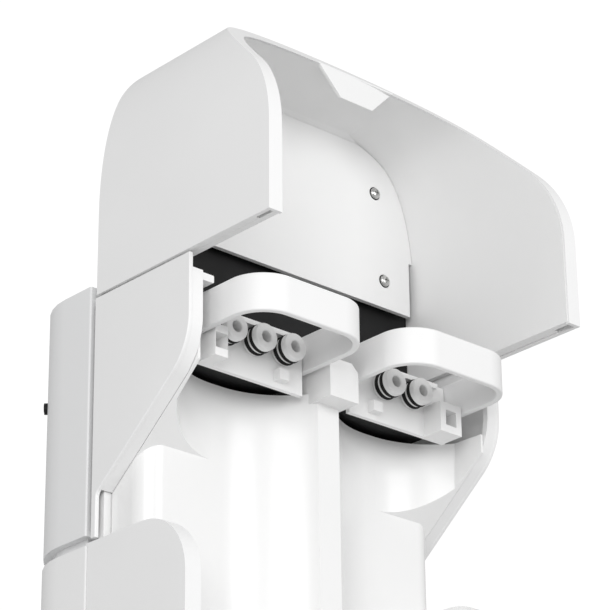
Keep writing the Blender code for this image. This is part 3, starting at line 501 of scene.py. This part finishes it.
# ---------------------------------------------------------------- side panels and bays
def make_side_panels():
    """Flat plates with a flange along the slanted edge, a tongue and a small ledge."""
    front, slope = PANEL_FRONT, PANEL_SLOPE
    plate = rounded([(front, PANEL_TOP, 0), (front, PANEL_KNEE, 0.033), (PANEL_STRIP, PANEL_HEEL, 0.004),
                     (PANEL_STRIP, PANEL_FOOT, 0), (PANEL_BACK, PANEL_FOOT, 0), (PANEL_BACK, PANEL_TOP, 0)])
    band, end, lap = 0.0032, 0.0590, 0.0002
    outer_knee, inner_knee = PANEL_KNEE + 0.0001, PANEL_KNEE + 0.0015
    flange = rounded([(front + lap, 0.3770, 0), (front + lap, outer_knee, 0.0328),
                      (end, outer_knee - (end - front - lap) * slope, 0),
                      (end, inner_knee - (end - front - band) * slope, 0),
                      (front + band, inner_knee, 0.0302), (front + band, 0.3770, 0)])
    for word, side in (("left", -1), ("right", 1)):
        low, high = sorted((side * PANEL_INNER, side * PANEL_OUTER))
        panel = soften(prism(plate, low, high, ALONG_X), 0.0005, 3, 35)
        low, high = sorted((side * PANEL_FLANGE, side * (PANEL_INNER + GAP)))
        edge = prism(flange, low, high, ALONG_X)
        low, high = sorted((side * 0.0953, side * (PANEL_INNER + GAP)))
        tongue = block((low, 0.0010, 0.3775), (high, 0.0540, 0.3900))
        low, high = sorted((side * 0.0838, side * 0.0960))
        ledge = prism(rounded([(low, 0.3728, 0.0006), (high, 0.3728, 0.0006), (high, 0.3765, 0.0006),
                               (low, 0.3765, 0.0006)]), front + 0.0010, front + 0.0100, ALONG_Y)
        fuse(panel, edge, tongue, ledge)
        show("side_panel_%s_skin" % word, panel, "housing", "white_abs", "side_panel_" + word)


def bay_line():
    """Right half of the bays' plan: divider face, hollow, flat back, outer corner, side."""
    line = [(0.0, DIVIDER_FRONT)]
    first = pi - asin((DIVIDER_FRONT - BAY_Y) / BAY_RADIUS)
    line += [(BAY_X + BAY_RADIUS * cos(a), BAY_Y + BAY_RADIUS * sin(a))
             for a in [first + (pi / 2 - first) * k / 40 for k in range(41)]]
    flat, corner = BAY_Y + BAY_RADIUS, 0.0107
    line += [(BAY_SIDE - corner + corner * sin(a), flat + corner - corner * cos(a))
             for a in [radians(90) * k / 16 for k in range(17)]]
    line.append((BAY_SIDE, 0.0592))
    return line


def bay_wing(side):
    """Fill that carries a bay's hollow forward to the side panel, cut off along its slanted edge."""
    first, last, flat = radians(89), radians(35.6), BAY_Y + BAY_RADIUS
    hollow = [(WING_X + WING_RADIUS * cos(a), WING_Y + WING_RADIUS * sin(a))
              for a in [first + (last - first) * k / 40 for k in range(41)]]
    web_front, behind = PANEL_FRONT + 0.0038, flat + 0.0012
    plan = hollow + [(BAY_SIDE - 0.0014, web_front), (BAY_SIDE, web_front), (BAY_SIDE, 0.0445),
                     (BAY_SIDE - 0.0107, behind), (hollow[0][0], behind)]
    plan = [(side * x, y) for x, y in plan]
    edge = [(y, PANEL_KNEE - (y - PANEL_FRONT) * PANEL_SLOPE) for y in (0.08, -0.02)]
    slant = [(-0.02, 0.20), (0.08, 0.20)] + edge
    return carve(prism(plan, 0.2802, BAY_TOP, ALONG_Z), prism(slant, -0.12, 0.12, ALONG_X))


def make_bays():
    """One moulded wall that forms both filter bays, the divider and the post above it."""
    right = bay_line()
    line = [(-x, y) for x, y in reversed(right[1:])] + right[1:]
    bm = bmesh.new()
    rows = [[bm.verts.new((x, y, z)) for x, y in line] for z in (BAY_FLOOR, BAY_TOP)]
    for i in range(len(line) - 1):
        bm.faces.new((rows[0][i], rows[0][i + 1], rows[1][i + 1], rows[1][i]))
    mesh = bpy.data.meshes.new("loose")
    bm.to_mesh(mesh)
    bm.free()
    wall = bpy.data.objects.new("loose", mesh)
    bpy.context.scene.collection.objects.link(wall)
    thick = wall.modifiers.new("thickness", 'SOLIDIFY')
    thick.thickness = BAY_WALL
    thick.offset = -1
    thick.use_even_offset = True
    bake(wall)
    fuse(wall, prism([(-0.0090, BAY_TOP - 0.0050), (0.0090, BAY_TOP - 0.0050),
                      (0.0090, BAY_TOP + 0.0105), (0.0050, BAY_TOP + 0.0145),
                      (-0.0090, BAY_TOP + 0.0145)], 0.0, 0.0240, ALONG_Y),
         bay_wing(-1), bay_wing(1))
    soften(wall, 0.0008, 3, 35)
    show("bay_wall_skin", wall, "housing", "inner_white", "bay_wall", finish="bay_white")


# ---------------------------------------------------------------- filter heads
FACING = Matrix.Rotation(radians(-90), 3, 'X')


def ring(major, minor, place, turn):
    """Round seal of a circular section."""
    profile = [(major + minor * cos(2 * pi * k / 16), minor * sin(2 * pi * k / 16)) for k in range(16)]
    return lathe(profile, place, turn, 48)


def make_head(word, centre, ports):
    """A filter head's water ports with two seals each, and its locking collar."""
    for number, offset in enumerate(ports, 1):
        x = centre + offset
        length = HEAD_FRONT - PORT_TIP - GAP
        profile = [(0.0028, 0.0004), (0.0032, 0.0), (0.0058, 0.0), (0.0064, 0.0003), (0.0067, 0.0009),
                   (0.0067, 0.0032), (0.0065, 0.0034), (0.0048, 0.0034), (0.0048, 0.0058),
                   (0.0063, 0.0058), (0.0064, 0.0059), (0.0064, 0.0067), (0.0063, 0.0068),
                   (0.0048, 0.0068), (0.0048, 0.0092), (0.0063, 0.0092), (0.0064, 0.0093),
                   (0.0064, length), (0.0028, length)]
        name = "port_%s_%d" % (word, number)
        port = lathe(profile, (x, PORT_TIP, PORT_Z), FACING, 56)
        show(name + "_skin", port, "housing", "port_white", name)
        for place, depth in (("front", 0.0046), ("rear", 0.0080)):
            name = "seal_%s_%d_%s" % (word, number, place)
            seal = ring(0.00612, 0.00095, (x, PORT_TIP + depth, PORT_Z), FACING)
            show(name + "_skin", seal, "housing", "black_rubber", name)

    def loop(inset):
        side, corner, nose = COLLAR_HALF - inset, COLLAR_CORNER - inset, COLLAR_FRONT + inset
        return rounded([(centre - side, HEAD_BACK, 0), (centre - side, nose, corner),
                        (centre + side, nose, corner), (centre + side, HEAD_BACK, 0)])

    collar = prism(loop(0.0) + list(reversed(loop(COLLAR_WALL))), COLLAR_BOTTOM, COLLAR_TOP, ALONG_Z)
    carve(collar, rod((centre - 0.046, *COLLAR_PIVOT), (centre + 0.046, *COLLAR_PIVOT), 0.0023, 32))
    soften(collar, 0.0009, 3, 35)
    name = "locking_collar_" + word
    show(name + "_skin", collar, "collar_" + word, "white_abs", name)


# ---------------------------------------------------------------- rear details
def make_rear():
    """Rear base with vent grooves, tank with a level window and grip grooves, and black strips in the gaps
    behind the side panels that are painted shade.
    """
    vents = [block((-0.034, 0.1196, z), (0.034, 0.13, z + 0.0022))
             for z in (0.196, 0.203, 0.210, 0.217, 0.224, 0.231)]
    grips = [block((0.0988, 0.080, z), (0.11, 0.104, z + 0.0020)) for z in (0.352, 0.357, 0.362)]

    def pane(half, low, high, corner):
        return rounded([(-half, low, corner), (half, low, corner),
                        (half, high, corner), (-half, high, corner)])

    seat = prism(pane(0.0063, 0.2847, 0.3723, 0.0043), TANK_BACK - 0.0012, 0.13, ALONG_Y)
    skin("rear_base", 0.0005, *vents)
    skin("water_tank", 0.0005, seat, *grips)
    window = prism(pane(0.0060, 0.285, 0.372, 0.004), TANK_BACK - 0.0011, TANK_BACK - 0.0002, ALONG_Y)
    show("tank_level_window", soften(window, 0.0002, 2, 35), "tank", "tube_clear")
    # black strip down each gap between side panel and tank: painted shade of the gap
    for word, side in (("left", -1), ("right", 1)):
        low, high = sorted((side * 0.0945, side * 0.0973))
        strip = prism(rounded([(low, 0.0641, 0.0003), (high, 0.0641, 0.0003),
                               (high, TANK_FRONT_GAP, 0.0006), (low, TANK_FRONT_GAP, 0.0006)]),
                      0.2690, 0.3820, ALONG_Z)
        show("gap_shade_strip_" + word, strip, "housing", "black_rubber")


# ---------------------------------------------------------------- build everything
make_hood()
make_inner_cover()
make_side_panels()
make_bays()
make_head("left", -HEAD_X, (-0.0170, 0.0010, 0.0190))
make_head("right", HEAD_X, (-0.0100, 0.0080))
make_rear()
for name, width in {"filter_head_left": 0.0005, "filter_head_right": 0.0005, "lower_housing": 0.0007,
                    "tank_lid": 0.0005, "base_plate": 0.0008,
                    "drip_platform": 0.0008, "drip_tray": 0.0007, "drip_grille": 0.0004,
                    "spout_block": 0.0008, "dispense_lever": 0.0008, "back_frame": 0.0004,
                    "inner_chassis": 0.0003, "power_inlet": 0.0004}.items():
    skin(name, width)
for name, item in frame["nodes"].items():
    if not item.hide_render:
        item.data.materials.clear()
        item.data.materials.append(MATERIALS[SLOT_OF[name]])

# ---------------------------------------------------------------- camera: the photograph's viewpoint
yaw, pitch, roll = radians(42.2661), radians(24.2461), radians(-0.6852)
ahead = Vector((sin(yaw) * cos(pitch), cos(yaw) * cos(pitch), sin(pitch)))
level = Vector((cos(yaw), -sin(yaw), 0.0))
above = level.cross(ahead)
right = cos(roll) * level + sin(roll) * above
up = cos(roll) * above - sin(roll) * level
lens = bpy.data.cameras.new("camera")
lens.sensor_width = 36.0
lens.lens = 165.167
camera = bpy.data.objects.new("camera", lens)
camera.matrix_world = (Matrix.Translation((-0.83000, -0.88630, -0.15860))
                       @ Matrix((right, up, -ahead)).transposed().to_4x4())
bpy.context.scene.collection.objects.link(camera)
bpy.context.scene.camera = camera
lens.clip_start, lens.clip_end = 0.01, 20.0

# ---------------------------------------------------------------- floor and light
floor = rod((0, 0, -0.008), (0, 0, 0.0), 0.45, 96)
floor.name = "floor"
floor.data.materials.append(moulded("floor_paper", (0.82, 0.82, 0.82), 0.6, swing=0.006, cloud=6.0))
floor.data.shade_smooth()
floor.data.set_sharp_from_angle(angle=radians(30))

world = bpy.data.worlds.new("studio")
bpy.context.scene.world = world
world.use_nodes = True
tree = world.node_tree
backdrop = tree.nodes["Background"]
backdrop.inputs["Color"].default_value = (1, 1, 1, 1)
backdrop.inputs["Strength"].default_value = 0.55
plain = tree.nodes.new("ShaderNodeBackground")
plain.inputs["Color"].default_value = (1, 1, 1, 1)
plain.inputs["Strength"].default_value = 1.05
choose = tree.nodes.new("ShaderNodeMixShader")
path = tree.nodes.new("ShaderNodeLightPath")
link(tree, path.outputs["Is Camera Ray"], choose.inputs["Fac"])
link(tree, backdrop.outputs["Background"], choose.inputs[1])
link(tree, plain.outputs["Background"], choose.inputs[2])
link(tree, choose.outputs["Shader"], tree.nodes["World Output"].inputs["Surface"])


def softbox(name, place, target, width, height, power):
    """Soft rectangular light at a place, turned to its target."""
    light = bpy.data.lights.new(name, 'AREA')
    light.shape = 'RECTANGLE'
    light.size, light.size_y = width, height
    light.energy = power
    made = bpy.data.objects.new(name, light)
    made.location = place
    made.rotation_mode = 'QUATERNION'
    made.rotation_quaternion = (Vector(target) - Vector(place)).to_track_quat('-Z', 'Y')
    bpy.context.scene.collection.objects.link(made)
    return made


softbox("front_box", (0.30, -1.70, 0.60), (0, 0, 0.36), 0.9, 0.9, 8.0)
softbox("near_box", (-1.20, -1.15, 0.55), (0, 0, 0.38), 1.2, 0.8, 12.5)
bpy.context.scene.view_settings.view_transform = 'Standard'
bpy.context.scene.view_settings.look = 'None'
